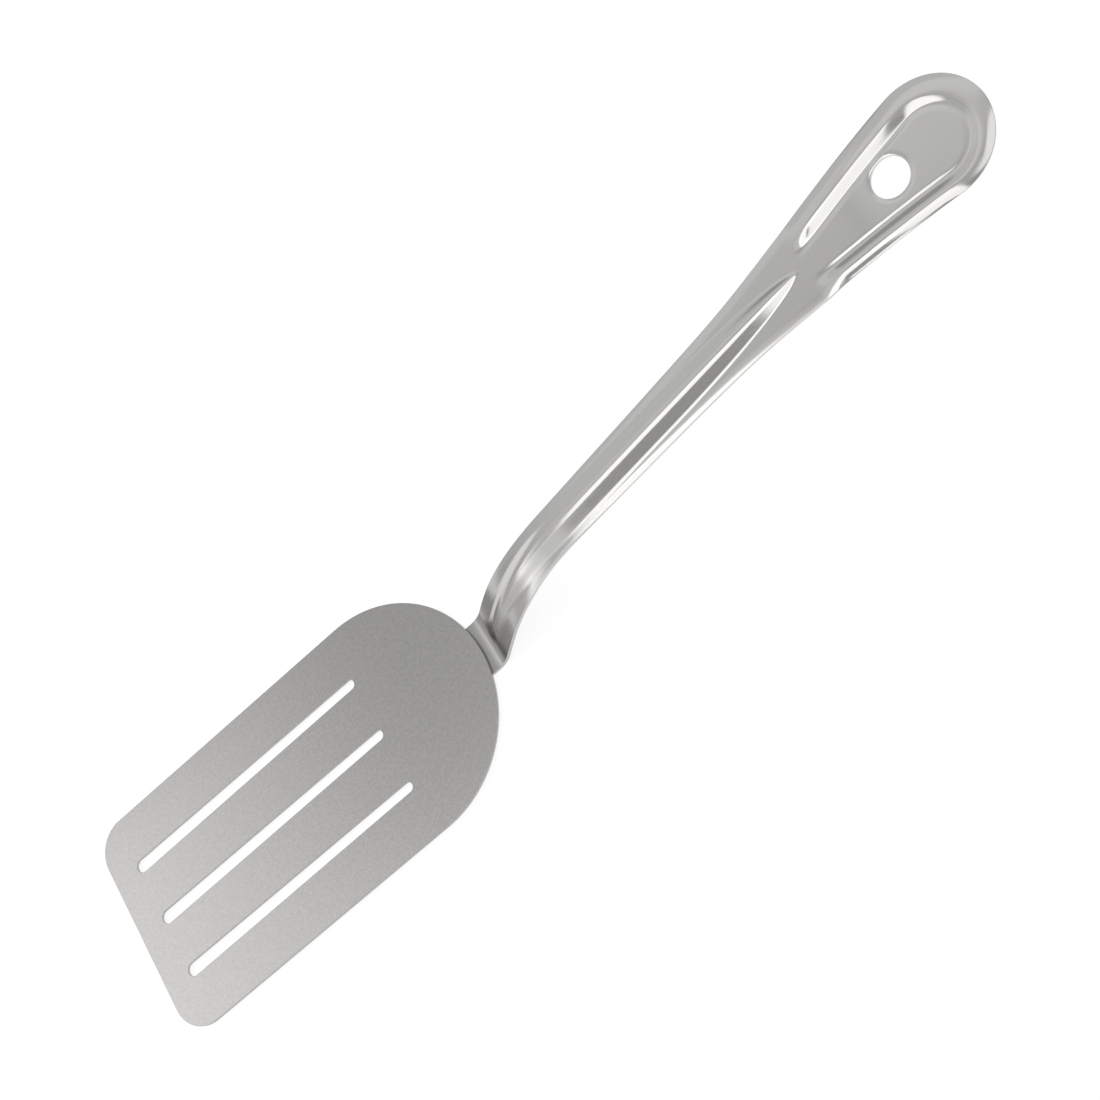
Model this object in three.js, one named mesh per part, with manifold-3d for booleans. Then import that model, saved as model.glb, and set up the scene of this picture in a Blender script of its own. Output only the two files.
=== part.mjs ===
// Slotted turner: a flat slotted blade, spot welded onto the tongue of a handle pressed from one sheet.
// Millimetres, +Z up. +X runs from the blade's front edge to the handle's end, and +Y to the left.
// The blade's underside and the tongue's top meet in the plane z = 0 of the turner's own group.

import * as THREE from 'three';
import { mergeVertices } from 'three/addons/utils/BufferGeometryUtils.js';
import Module from 'manifold-3d';

const wasm = await Module();
wasm.setup();

// Blade
const BLADE_LENGTH = 144.5;
const BLADE_WIDTH = 74.6;
const BLADE_SHEET = 1.0;
const CORNER_RADIUS = 11;

// Slots, a little narrower towards the rear
const SLOT_COUNT = 3;
const SLOT_PITCH = 19.4;
const SLOT_FRONT_WIDTH = 4.2;
const SLOT_REAR_WIDTH = 3.1;
const SLOT_FRONT_INSET = 9.5;
const SLOT_TONGUE_MARGIN = 6.2;

// Handle seen from the side: flat tongue, heel bend, neck ramp, neck bend, cambered shaft and drooping end
const HANDLE_SHEET = 1.2;
const TONGUE_LAP = 34;
const HEEL_GAP = 0.9;
const HEEL_RADIUS = 7;
const NECK_ANGLE = 45;
const NECK_LENGTH = 7;
const NECK_RADIUS = 70;
const SHAFT_START_ANGLE = 11;
const SHAFT_END_ANGLE = 10;
const SHAFT_LENGTH = 118;
const END_ANGLE = 3;
const END_LENGTH = 30;

// Handle seen from above: the outline wraps circles strung along the axis
const TONGUE_WIDTH = 17.2;
const WAIST_WIDTH = 15;
const SHAFT_FLARE_ANGLE = 0.9;
const LOOP_FLARE_ANGLE = 7.5;
const LOOP_RADIUS = 17.8;
const FLARE_BLEND = 1.6;

// Pressed relief: rib along the shaft, rim round the loop, rolled edges
const RIB_HEIGHT = 1.7;
const RIB_WIDTH = 11.6;
const RIB_NECK_WIDTH = 7;
const RIB_NOSE_SETBACK = 3.5;
const RIB_NOSE_LENGTH = 9;
const RIB_TIP_LENGTH = 52;
const RIB_TO_RIM = 3;
const RIM_HEIGHT = 0.9;
const RIM_FALL = 0.75;
const RIM_CREST = 4.2;
const RIM_FOOT = 7.6;
const RIM_RUNOUT = 6;
const RIM_REACH = 46;
const EDGE_ROLL = 3;
const EDGE_DROP = 0.5;
const LOOP_EDGE_DROP = 0.15;

// Hanging hole
const HOLE_DIAMETER = 11.2;
const HOLE_SETBACK = 13.3;

// Spot welds between blade and tongue
const WELD_NAMES = ['spot_weld_front', 'spot_weld_rear'];
const WELD_DIAMETER = 5;
const WELD_DEPTH = 0.4;
const WELD_CLEARANCE = 0.3;
const MARK_DIAMETER = 6;
const MARK_DEPTH = 0.15;

// Facets
const ACROSS_STEPS = 14;
const CAP_STEPS = 16;
const ARC_SEGMENTS = 24;

const { clamp, degToRad, lerp, smoothstep } = THREE.MathUtils;

// Runs of the handle's side profile: length along the sheet, turn in radians and facet steps
const neckAngle = degToRad(NECK_ANGLE);
const shaftStart = degToRad(SHAFT_START_ANGLE);
const shaftEnd = degToRad(SHAFT_END_ANGLE);
const tongueFront = BLADE_LENGTH - TONGUE_LAP;
const tongueRun = TONGUE_LAP + HEEL_GAP - TONGUE_WIDTH / 2;
const RUNS = [
  { length: tongueRun, turn: 0, steps: 4 },
  { length: HEEL_RADIUS * neckAngle, turn: neckAngle, steps: 6 },
  { length: NECK_LENGTH, turn: 0, steps: 4 },
  { length: NECK_RADIUS * (neckAngle - shaftStart), turn: shaftStart - neckAngle, steps: 12 },
  { length: SHAFT_LENGTH, turn: shaftEnd - shaftStart, steps: 24 },
  { length: END_LENGTH, turn: degToRad(END_ANGLE) - shaftEnd, steps: 8 },
];

// Places along the sheet, counted from the centre of the tongue's round front end
const lengthOf = (runs) => runs.reduce((sum, run) => sum + run.length, 0);
const heelStart = tongueRun;
const neckStart = lengthOf(RUNS.slice(0, 2));
const waist = lengthOf(RUNS.slice(0, 4));
const loopCentre = lengthOf(RUNS);
const holeCentre = loopCentre - HOLE_SETBACK;
const rimStart = loopCentre - RIM_REACH;
const ribTip = rimStart - RIB_TO_RIM;
const ribNose = heelStart + RIB_NOSE_SETBACK;

function spineAt(s) {
  let x = tongueFront + TONGUE_WIDTH / 2;
  let z = 0;
  let angle = 0;
  let left = s;
  for (const { length, turn } of RUNS) {
    const run = Math.min(left, length);
    const bend = turn * run / length;
    const chord = bend === 0 ? run : run * Math.sin(bend / 2) / (bend / 2);
    x += chord * Math.cos(angle + bend / 2);
    z += chord * Math.sin(angle + bend / 2);
    angle += bend;
    left -= run;
    if (left <= 0) break;
  }
  x += left * Math.cos(angle);
  z += left * Math.sin(angle);
  return { x, z, angle };
}

function smoothMax(a, b, blend) {
  return (a + b + Math.hypot(a - b, blend)) / 2;
}

// Radius of the circle whose centre is on the axis at s
function halfWidth(s) {
  const neck = lerp(TONGUE_WIDTH, WAIST_WIDTH, smoothstep(s, neckStart, waist)) / 2;
  const shaft = neck + Math.tan(degToRad(SHAFT_FLARE_ANGLE)) * Math.max(0, s - waist);
  const loop = LOOP_RADIUS - Math.sin(degToRad(LOOP_FLARE_ANGLE)) * (loopCentre - s);
  return smoothMax(shaft, loop, FLARE_BLEND);
}

// Direction, from the axis, of the spoke that meets the wrapped outline at a right angle
function spokeAngle(s) {
  const step = 0.01;
  return Math.acos((halfWidth(s - step) - halfWidth(s + step)) / (2 * step));
}

function ribAt(s, y) {
  const tip = clamp((s - ribTip) / RIB_TIP_LENGTH + 1, 0, 1);
  const share = Math.sqrt(1 - tip ** 2);
  if (share === 0) return 0;
  const half = share * lerp(RIB_NECK_WIDTH, RIB_WIDTH, smoothstep(s, ribNose, waist)) / 2;
  const across = Math.min(1, Math.abs(y) / half);
  const nose = smoothstep(s, ribNose, ribNose + RIB_NOSE_LENGTH);
  return RIB_HEIGHT * share * nose * (1 - across ** 2) ** 2;
}

// Rim over the loop's panel: it falls from its crest outwards to the outline and inwards to its foot
function rimAt(s, edge) {
  const outer = RIM_FALL * Math.max(0, 1 - edge / RIM_CREST) ** 2;
  const inner = RIM_HEIGHT * smoothstep(edge, RIM_CREST, RIM_FOOT);
  return (RIM_HEIGHT - outer - inner) * smoothstep(s, rimStart, rimStart + RIM_RUNOUT);
}

function rolledEdgeAt(s, edge) {
  const drop = lerp(EDGE_DROP, LOOP_EDGE_DROP, smoothstep(s, waist, rimStart));
  return drop * Math.max(0, 1 - edge / EDGE_ROLL) ** 2 * smoothstep(s, neckStart, waist);
}

// Point of the handle's top, a share k of the way along a spoke that leaves the axis at s
function handlePoint(s, angle, k) {
  const radius = halfWidth(s);
  const along = s + k * radius * Math.cos(angle);
  const y = k * radius * Math.sin(angle);
  const edge = radius * (1 - k);
  const height = ribAt(along, y) + rimAt(along, edge) - rolledEdgeAt(along, edge);
  const spine = spineAt(along);
  return [spine.x - height * Math.sin(spine.angle), y, spine.z + height * Math.cos(spine.angle)];
}

// Sheet of even thickness under a top surface, walled along the surface's boundary
function sheetGeometry(points, triangles, boundary, thickness) {
  const top = new THREE.BufferGeometry();
  top.setAttribute('position', new THREE.Float32BufferAttribute(points.flat(), 3));
  top.setIndex(triangles.flat());
  top.computeVertexNormals();
  const normal = top.attributes.normal;
  const under = points.map(([x, y, z], i) => [
    x - thickness * normal.getX(i),
    y - thickness * normal.getY(i),
    z - thickness * normal.getZ(i),
  ]);
  const count = points.length;
  const faces = triangles.concat(triangles.map(([a, b, c]) => [a + count, c + count, b + count]));
  boundary.forEach((a, i) => {
    const b = boundary[(i + 1) % boundary.length];
    faces.push([a, b, b + count], [a, b + count, a + count]);
  });
  const sheet = new THREE.BufferGeometry();
  sheet.setAttribute('position', new THREE.Float32BufferAttribute(points.concat(under).flat(), 3));
  sheet.setIndex(faces.flat());
  return sheet;
}

// Handle's pressed sheet: rows across the axis, closed by a fan of spokes round each end
function handleGeometry() {
  const points = [];
  const triangles = [];
  const vertex = (s, angle, k) => points.push(handlePoint(s, angle, k)) - 1;
  const strip = (a, b) => {
    for (let j = 0; j + 1 < a.length; j++) {
      if (a[j] !== b[j]) triangles.push([a[j], b[j], b[j + 1]]);
      triangles.push([a[j], b[j + 1], a[j + 1]]);
    }
  };

  const stations = [0];
  for (const { length, steps } of RUNS) {
    const start = stations.at(-1);
    for (let i = 1; i <= steps; i++) stations.push(start + length * i / steps);
  }
  const rows = stations.map((s) => {
    const angle = spokeAngle(s);
    const row = [];
    for (let j = -ACROSS_STEPS; j <= ACROSS_STEPS; j++) {
      row.push(vertex(s, Math.sign(j) * angle, Math.abs(j) / ACROSS_STEPS));
    }
    return row;
  });
  rows.slice(1).forEach((row, i) => strip(rows[i], row));

  // Spokes of a round end, from one half of its row clockwise to the other
  const roundEnd = (s, row, from, sweep) => {
    const leftHalf = row.slice(ACROSS_STEPS);
    const rightHalf = row.slice(0, ACROSS_STEPS + 1).reverse();
    const spokes = [from > 0 ? leftHalf : rightHalf];
    for (let m = 1; m < CAP_STEPS; m++) {
      const spoke = [row[ACROSS_STEPS]];
      for (let j = 1; j <= ACROSS_STEPS; j++) {
        spoke.push(vertex(s, from - sweep * m / CAP_STEPS, j / ACROSS_STEPS));
      }
      spokes.push(spoke);
    }
    spokes.push(from > 0 ? rightHalf : leftHalf);
    spokes.slice(1).forEach((spoke, i) => strip(spokes[i], spoke));
    return spokes.slice(1, -1).map((spoke) => spoke.at(-1));
  };
  const endAngle = spokeAngle(loopCentre);
  const loopRim = roundEnd(loopCentre, rows.at(-1), endAngle, 2 * endAngle);
  const tongueRim = roundEnd(0, rows[0], -spokeAngle(0), 2 * (Math.PI - spokeAngle(0)));

  const leftEdge = rows.map((row) => row.at(-1));
  const rightEdge = rows.map((row) => row[0]).reverse();
  const boundary = [...leftEdge, ...loopRim, ...rightEdge, ...tongueRim];
  return sheetGeometry(points, triangles, boundary, HANDLE_SHEET);
}

function slotPath(y) {
  const front = SLOT_FRONT_WIDTH / 2;
  const rear = SLOT_REAR_WIDTH / 2;
  const frontCentre = SLOT_FRONT_INSET + front;
  const rearCentre = tongueFront - SLOT_TONGUE_MARGIN - rear;
  const tangent = Math.acos((front - rear) / (rearCentre - frontCentre));
  const slot = new THREE.Path();
  slot.absarc(frontCentre, y, front, tangent, 2 * Math.PI - tangent, false);
  slot.absarc(rearCentre, y, rear, -tangent, tangent, false);
  return slot;
}

function bladeGeometry() {
  const half = BLADE_WIDTH / 2;
  const corner = half - CORNER_RADIUS;
  const outline = new THREE.Shape();
  outline.absarc(CORNER_RADIUS, corner, CORNER_RADIUS, Math.PI / 2, Math.PI, false);
  outline.absarc(CORNER_RADIUS, -corner, CORNER_RADIUS, Math.PI, 1.5 * Math.PI, false);
  outline.absarc(BLADE_LENGTH - half, 0, half, -Math.PI / 2, Math.PI / 2, false);
  for (let i = 0; i < SLOT_COUNT; i++) {
    outline.holes.push(slotPath((i - (SLOT_COUNT - 1) / 2) * SLOT_PITCH));
  }
  return new THREE.ExtrudeGeometry(outline, {
    depth: BLADE_SHEET,
    bevelEnabled: false,
    curveSegments: ARC_SEGMENTS,
  });
}

// Upright disc centred on a place of the tongue
function disc(diameter, height, x, z) {
  const geometry = new THREE.CylinderGeometry(diameter / 2, diameter / 2, height, ARC_SEGMENTS);
  return geometry.rotateX(Math.PI / 2).translate(x, 0, z);
}

function toSolid(geometry) {
  const bare = geometry.clone();
  bare.deleteAttribute('normal');
  bare.deleteAttribute('uv');
  const merged = mergeVertices(bare);
  return new wasm.Manifold(new wasm.Mesh({
    numProp: 3,
    vertProperties: merged.attributes.position.array,
    triVerts: new Uint32Array(merged.index.array),
  }));
}

function cut(geometry, tools) {
  const mesh = tools.reduce((solid, tool) => solid.subtract(toSolid(tool)), toSolid(geometry)).getMesh();
  const result = new THREE.BufferGeometry();
  result.setAttribute('position', new THREE.BufferAttribute(mesh.vertProperties, 3));
  result.setIndex(new THREE.BufferAttribute(mesh.triVerts, 1));
  result.computeVertexNormals();
  return result;
}

function hangingHole() {
  const { x, z, angle } = spineAt(holeCentre);
  const depth = HOLE_DIAMETER + HANDLE_SHEET;
  const tool = new THREE.CylinderGeometry(HOLE_DIAMETER / 2, HOLE_DIAMETER / 2, depth, 2 * ARC_SEGMENTS);
  return tool.rotateX(Math.PI / 2).rotateY(-angle).translate(x, 0, z);
}

// Welds stand evenly along the tongue's lap
const weldPlaces = WELD_NAMES.map((_, i) => tongueFront + TONGUE_LAP * (i + 1) / (WELD_NAMES.length + 1));
const recessDiameter = WELD_DIAMETER + 2 * WELD_CLEARANCE;
const weldRecesses = weldPlaces.map((x) => disc(recessDiameter, 2 * WELD_DEPTH, x, 0));
const weldMarks = weldPlaces.map((x) => disc(MARK_DIAMETER, 2 * MARK_DEPTH, x, -HANDLE_SHEET));

const satinSteel = new THREE.MeshStandardMaterial({ color: 0xb4b3b1, roughness: 0.45, metalness: 1 });
const polishedSteel = new THREE.MeshStandardMaterial({ color: 0xc6c5c3, roughness: 0.12, metalness: 1 });
const fusedSteel = new THREE.MeshStandardMaterial({ color: 0x8f8d8a, roughness: 0.6, metalness: 1 });

const turner = new THREE.Group();

function addPiece(name, geometry, material) {
  const mesh = new THREE.Mesh(geometry, material);
  mesh.name = name;
  turner.add(mesh);
}

addPiece('blade', cut(bladeGeometry(), weldRecesses), satinSteel);
addPiece('handle', cut(handleGeometry(), [hangingHole(), ...weldRecesses, ...weldMarks]), polishedSteel);
WELD_NAMES.forEach((name, i) => {
  addPiece(name, disc(WELD_DIAMETER, 2 * WELD_DEPTH, weldPlaces[i], 0), fusedSteel);
});

// The origin lies under the middle of the turner's length, on the surface that the tongue rests on
const extent = new THREE.Box3().setFromObject(turner, true);
turner.position.set(-(extent.min.x + extent.max.x) / 2, 0, HANDLE_SHEET);

export default turner;
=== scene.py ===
"""Slotted turner: the looks of its stamped blade, pressed handle and welds, and a plain studio stage.

Lengths are metres in the part's own frame: +X from the blade's front edge to the hanging end, +Y left, +Z up.
Places along the handle are counted on the sheet, from the centre of the tongue's round front end.
"""

import math

import bpy
import numpy as np
from bpy.props import FloatProperty, FloatVectorProperty, IntProperty, PointerProperty, StringProperty
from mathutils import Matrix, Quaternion, Vector


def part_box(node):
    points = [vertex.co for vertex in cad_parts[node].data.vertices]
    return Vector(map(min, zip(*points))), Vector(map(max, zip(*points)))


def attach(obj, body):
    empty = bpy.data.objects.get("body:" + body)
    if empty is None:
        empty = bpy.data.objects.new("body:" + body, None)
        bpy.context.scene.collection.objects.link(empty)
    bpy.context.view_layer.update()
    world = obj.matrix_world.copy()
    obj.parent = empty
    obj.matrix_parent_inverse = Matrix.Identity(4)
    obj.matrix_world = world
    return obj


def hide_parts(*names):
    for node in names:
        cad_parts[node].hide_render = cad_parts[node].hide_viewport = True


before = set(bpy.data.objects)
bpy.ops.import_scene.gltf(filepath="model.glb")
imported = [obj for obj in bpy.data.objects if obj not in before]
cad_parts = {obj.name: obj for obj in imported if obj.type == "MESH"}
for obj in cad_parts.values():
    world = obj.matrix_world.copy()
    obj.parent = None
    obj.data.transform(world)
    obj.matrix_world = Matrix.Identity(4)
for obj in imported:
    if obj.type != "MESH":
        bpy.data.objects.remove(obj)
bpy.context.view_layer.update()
blade_low, blade_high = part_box("blade")
handle_low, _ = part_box("handle")
blade_size = blade_high - blade_low

bl_info = {
    "name": "Slotted turner",
    "version": (1, 0, 0),
    "blender": (4, 5, 0),
    "location": "3D View > Sidebar > Turner",
    "description": "Builds a slotted turner's blade, pressed handle and welds, and a studio stage",
    "category": "Add Mesh",
}

MM = 0.001
BODY = "root"
WELD_NODES = ("spot_weld_front", "spot_weld_rear")

# Mesh density
ARC_POINTS = 48
SLOT_POINTS = 64
HALF_COLUMNS = 40
CAP_SPOKES = 120
RUN_ROWS = (30, 14, 14, 60, 140, 60)
HOLE_RINGS = 16
SPINE_STEP = 0.05 * MM

# The patch of rings round the hole, in hole radii, and how far its rings crowd towards the hole
HOLE_PATCH = 1.45
RING_CROWDING = 1.6

# Working out the outline's spokes
TINY = 0.01 * MM
OUTLINE_TRIES = 12

# Most values of a noise lie between these
NOISE_LOW = 0.3
NOISE_HIGH = 0.7

# Sockets of a colour Mix node, whose names repeat
MIX_FACTOR, MIX_A, MIX_B = 0, 6, 7
MIX_RESULT = 2

WHITE = (1.0, 1.0, 1.0, 1.0)


def size(name, description, default):
    """A length that the user can change."""
    return FloatProperty(name=name, description=description, default=default, unit="LENGTH", precision=5)


def angle(name, description, degrees):
    """An angle that the user can change."""
    return FloatProperty(name=name, description=description, default=math.radians(degrees), subtype="ANGLE")


def portion(name, description, default):
    """A share of something that the user can change."""
    return FloatProperty(
        name=name, description=description, default=default, min=0, max=1, subtype="FACTOR")


def tint(name, description, default):
    """A colour that the user can change, as an sRGB hex value."""
    return StringProperty(name=name, description=description, default=default)


class BladeSettings(bpy.types.PropertyGroup):
    """Sizes of the stamped blade and its slots"""

    length: size("Length", "Front edge to the far end of the round rear", blade_size.x)
    width: size("Width", "Across the blade", blade_size.y)
    sheet: size("Sheet", "Thickness of the blade's sheet", blade_size.z)
    corner_radius: size("Corner radius", "Round of the two front corners", 11 * MM)
    slot_count: IntProperty(name="Slots", description="How many slots lie side by side", default=3, min=1)
    slot_pitch: size("Slot pitch", "From one slot's middle line to the next", 19.4 * MM)
    slot_front_width: size("Slot front width", "Width of a slot at its front end", 4.2 * MM)
    slot_rear_width: size("Slot rear width", "Width of a slot at its rear end", 3.1 * MM)
    slot_front_inset: size("Slot front inset", "Bare sheet in front of a slot", 9.5 * MM)
    slot_rear_inset: size("Slot rear inset", "Bare sheet behind a slot", 40.2 * MM)
    edge_round: size("Edge round", "Round of the deburred cut edges", 0.15 * MM)


class HandleSettings(bpy.types.PropertyGroup):
    """Sizes of the pressed handle"""

    sheet: size("Sheet", "Thickness of the handle's sheet", 1.2 * MM)
    tongue_lap: size("Tongue lap", "How far the tongue reaches under the blade", 34 * MM)
    heel_gap: size("Heel gap", "Flat sheet between the blade's end and the heel bend", 0.9 * MM)
    heel_radius: size("Heel radius", "Radius of the bend at the heel", 7 * MM)
    heel_ease: size("Heel ease", "Length over which the heel bend sets in", 3 * MM)
    neck_angle: angle("Neck angle", "Rise of the neck", 45)
    neck_length: size("Neck length", "Straight part of the neck", 7 * MM)
    neck_radius: size("Neck radius", "Radius of the bend from neck to shaft", 70 * MM)
    neck_ease: size("Neck ease", "Length over which the neck bend sets in", 12 * MM)
    shaft_start: angle("Shaft start", "Rise at the start of the shaft", 11)
    shaft_end: angle("Shaft end", "Rise at the end of the shaft", 10)
    shaft_length: size("Shaft length", "From the neck bend to the drooping end", 118 * MM)
    end_angle: angle("End rise", "Rise at the loop's centre", 3)
    end_length: size("End length", "From the shaft's end to the loop's centre", 30 * MM)
    tongue_width: size("Tongue width", "Width of the tongue and the heel", 17.2 * MM)
    waist_width: size("Waist width", "Width where the shaft starts", 15 * MM)
    shaft_flare: angle("Shaft flare", "Slope of the shaft's sides", 0.9)
    loop_flare: angle("Loop flare", "Slope of the sides towards the loop", 7.5)
    loop_radius: size("Loop radius", "Radius of the round end", 17.8 * MM)
    flare_blend: size("Flare blend", "Softness of the change from shaft to loop", 1.6 * MM)
    rib_height: size("Rib height", "Height of the rib over the sheet", 1.7 * MM)
    rib_width: size("Rib width", "Width of the rib along the shaft", 11.6 * MM)
    rib_neck_width: size("Rib neck width", "Width of the rib at its nose", 7 * MM)
    rib_nose_setback: size("Rib nose setback", "From the start of the heel bend to the rib's nose", 3.5 * MM)
    rib_nose_length: size("Rib nose length", "Length over which the nose rises", 9 * MM)
    rib_neck_share: portion("Rib neck share", "Share of its height that the rib has at the nose", 0.55)
    rib_swell_length: size("Rib swell length", "Length over which it then rises to its full height", 30 * MM)
    rib_tip_length: size("Rib tip length", "Length over which the rib runs out to its tip", 52 * MM)
    rib_to_rim: size("Rib to rim", "Bare sheet between the rib's tip and the rim", 3 * MM)
    rim_height: size("Rim height", "Height of the rim round the loop over the panel", 0.9 * MM)
    rim_fall: size("Rim fall", "How far the rim falls from its crest to the outline", 0.75 * MM)
    rim_crest: size("Rim crest", "From the outline in to the top of the rim", 4.2 * MM)
    rim_foot: size("Rim foot", "From the outline in to the inner foot of the rim", 7.6 * MM)
    rim_runout: size("Rim runout", "Length over which the rim's ends rise", 9 * MM)
    rim_end_share: portion("Rim end share", "Share of its height that the rim keeps round the far end", 0.45)
    rim_end_length: size("Rim end length", "Length over which it sinks to that share", 16 * MM)
    rim_reach: size("Rim reach", "From the loop's centre to the rim's ends", 46 * MM)
    rim_groove: size("Rim groove", "Depth of the groove along the rim's inner foot", 0.15 * MM)
    groove_width: size("Groove width", "Width of that groove", 3 * MM)
    press_offset: size("Press offset", "How far the pressing sits to the right of the outline", 1.2 * MM)
    edge_drop: size("Edge drop", "How far the rolled edge curls down where the shaft starts", 0.5 * MM)
    loop_edge_drop: size("Loop edge drop", "How far it curls down round the loop", 0.15 * MM)
    edge_roll: size("Edge roll", "Width of the rolled edge", 3 * MM)
    edge_round: size("Edge round", "Round of the deburred cut edges", 0.15 * MM)
    hole_diameter: size("Hole diameter", "Hanging hole", 11.2 * MM)
    hole_setback: size("Hole setback", "From the loop's centre back to the hole's", 13.3 * MM)
    hole_lip: size("Hole lip", "Width of the drawn-in lip round the hole", 1.6 * MM)
    hole_drop: size("Hole drop", "How far the lip is drawn in", 0.18 * MM)
    mark_diameter: size("Mark diameter", "Dent that a welding electrode leaves under the tongue", 6 * MM)
    mark_depth: size("Mark depth", "Depth of that dent", 0.15 * MM)


class FinishSettings(bpy.types.PropertyGroup):
    """Colours of the finishes, as sRGB hex values"""

    polished: tint("Polished steel", "Buffed stainless steel of the handle", "#D9D8D6")
    # The satin colour is also used as painted shade, darkening the handle's neck
    satin: tint("Satin steel", "Blasted stainless steel of the blade", "#B4B3B1")
    fused: tint("Fused steel", "Dull steel of the weld nuggets", "#8F8D8A")
    sweep: tint("Sweep", "White studio paper under the turner", "#F4F4F4")


class StageSettings(bpy.types.PropertyGroup):
    """Camera, softboxes and floor"""

    camera_place: FloatVectorProperty(
        name="Camera place", description="Where the camera stands", subtype="XYZ", unit="LENGTH",
        default=(0.1813, -0.3046, 0.5801))
    camera_target: FloatVectorProperty(
        name="Camera target", description="What the middle of the picture shows", subtype="XYZ",
        unit="LENGTH", default=(0.0075, -0.0014, 0.0222))
    camera_roll: angle("Camera roll", "Turn of the camera about its line of sight, clockwise", 66.8)
    lens: FloatProperty(
        name="Lens", description="Focal length on a 36 mm frame", default=76.9 * MM,
        unit="CAMERA", precision=4)
    floor_size: size("Floor size", "Side of the square floor", 40.0)
    floor_gap: size("Floor gap", "Gap that keeps the floor clear of the tongue's underside", 0.1 * MM)


def add_node(tree, kind, inputs=None, **settings):
    """Add a node with its settings, and fill its inputs with plain values or links from other sockets."""
    node = tree.nodes.new(kind)
    for name, value in settings.items():
        setattr(node, name, value)
    for key, value in (inputs or {}).items():
        if isinstance(value, bpy.types.NodeSocket):
            tree.links.new(value, node.inputs[key])
        else:
            node.inputs[key].default_value = value
    return node


def linear(hex_colour):
    """Linear RGBA of an sRGB hex colour."""
    channels = [int(hex_colour[i:i + 2], 16) / 255 for i in (1, 3, 5)]
    return [c / 12.92 if c <= 0.04045 else ((c + 0.055) / 1.055) ** 2.4 for c in channels] + [1.0]


def work_out(tree, rule, known):
    """Add the nodes of a rule: each of its lines names a result, an operation and what it works on."""
    for result, operation, *operands in rule:
        inputs = {i: known.get(operand, operand) for i, operand in enumerate(operands)}
        if operation in ("LINEAR", "SMOOTHSTEP"):
            node = add_node(tree, "ShaderNodeMapRange", inputs, interpolation_type=operation)
        else:
            node = add_node(tree, "ShaderNodeMath", inputs, operation=operation)
        known[result] = node.outputs[0]


def smoothstep(value, start, end):
    """Ease from 0 at start to 1 at end."""
    share = np.clip((value - start) / (end - start), 0, 1)
    return share * share * (3 - 2 * share)


# Finishes


def new_material(name):
    """An empty material, its node tree and its output."""
    material = bpy.data.materials.new(name)
    material.use_nodes = True
    tree = material.node_tree
    tree.nodes.clear()
    return material, tree, add_node(tree, "ShaderNodeOutputMaterial")


def polished_stainless(colour, neck_shade_colour):
    """Stainless sheet, pressed and then buffed on a wheel along its length.

    It mirrors the studio with slightly soft edges, wavers a little where the sheet was drawn,
    and shows faint hairlines along the handle. The wheel doesn't reach down into the neck,
    so the sheet is duller there; its colour is also darkened there, which is painted shade.
    """
    # Real hairlines are finer, and are drawn coarse enough to show
    hairline_width = 0.35 * MM
    hairline_length = 45 * MM
    waver_size = 9 * MM
    smoothest, roughest = 0.07, 0.13
    hollow_length = 60 * MM
    hollow_dullness = 0.14
    material, tree, output = new_material("polished stainless steel")
    place = add_node(tree, "ShaderNodeTexCoord").outputs["Object"]
    stretched = add_node(tree, "ShaderNodeMapping", {
        "Vector": place, "Scale": (1 / hairline_length, 1 / hairline_width, 1 / hairline_width)}).outputs[0]
    hairlines = add_node(tree, "ShaderNodeTexNoise", {"Vector": stretched, "Scale": 1.0, "Detail": 3.0})
    waver = add_node(tree, "ShaderNodeTexNoise", {"Vector": place, "Scale": 1 / waver_size, "Detail": 1.0})
    roughness = add_node(tree, "ShaderNodeMapRange", {
        "Value": hairlines.outputs[0], "From Min": NOISE_LOW, "From Max": NOISE_HIGH,
        "To Min": smoothest, "To Max": roughest})
    along = add_node(tree, "ShaderNodeSeparateXYZ", {0: place}).outputs["X"]
    # Painted shade: from the blade's end up the neck the colour is darkened, fading out over 60 mm; the same
    # mask also makes the sheet rougher there
    dull_shaded_neck = add_node(tree, "ShaderNodeMapRange", {
        "Value": along, "From Min": blade_high.x, "From Max": blade_high.x + hollow_length,
        "To Min": 1.0, "To Max": 0.0}, interpolation_type="SMOOTHSTEP")
    dulled = add_node(tree, "ShaderNodeMath", {
        0: dull_shaded_neck.outputs[0], 1: hollow_dullness, 2: roughness.outputs[0]}, operation="MULTIPLY_ADD")
    # Painted shade: the polished colour is darkened to the given shade colour at the neck
    neck_shade_mix = add_node(tree, "ShaderNodeMix", {
        MIX_FACTOR: dull_shaded_neck.outputs[0], MIX_A: linear(colour), MIX_B: linear(neck_shade_colour)}, data_type="RGBA")
    wavy = add_node(tree, "ShaderNodeBump", {
        "Height": waver.outputs[0], "Strength": 0.25, "Distance": 0.06 * MM})
    scratched = add_node(tree, "ShaderNodeBump", {
        "Height": hairlines.outputs[0], "Strength": 0.12, "Distance": 0.01 * MM, "Normal": wavy.outputs[0]})
    steel = add_node(tree, "ShaderNodeBsdfPrincipled", {
        "Base Color": neck_shade_mix.outputs[MIX_RESULT], "Metallic": 1.0, "Roughness": dulled.outputs[0],
        "Normal": scratched.outputs[0]})
    tree.links.new(steel.outputs[0], output.inputs["Surface"])
    return material


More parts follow.
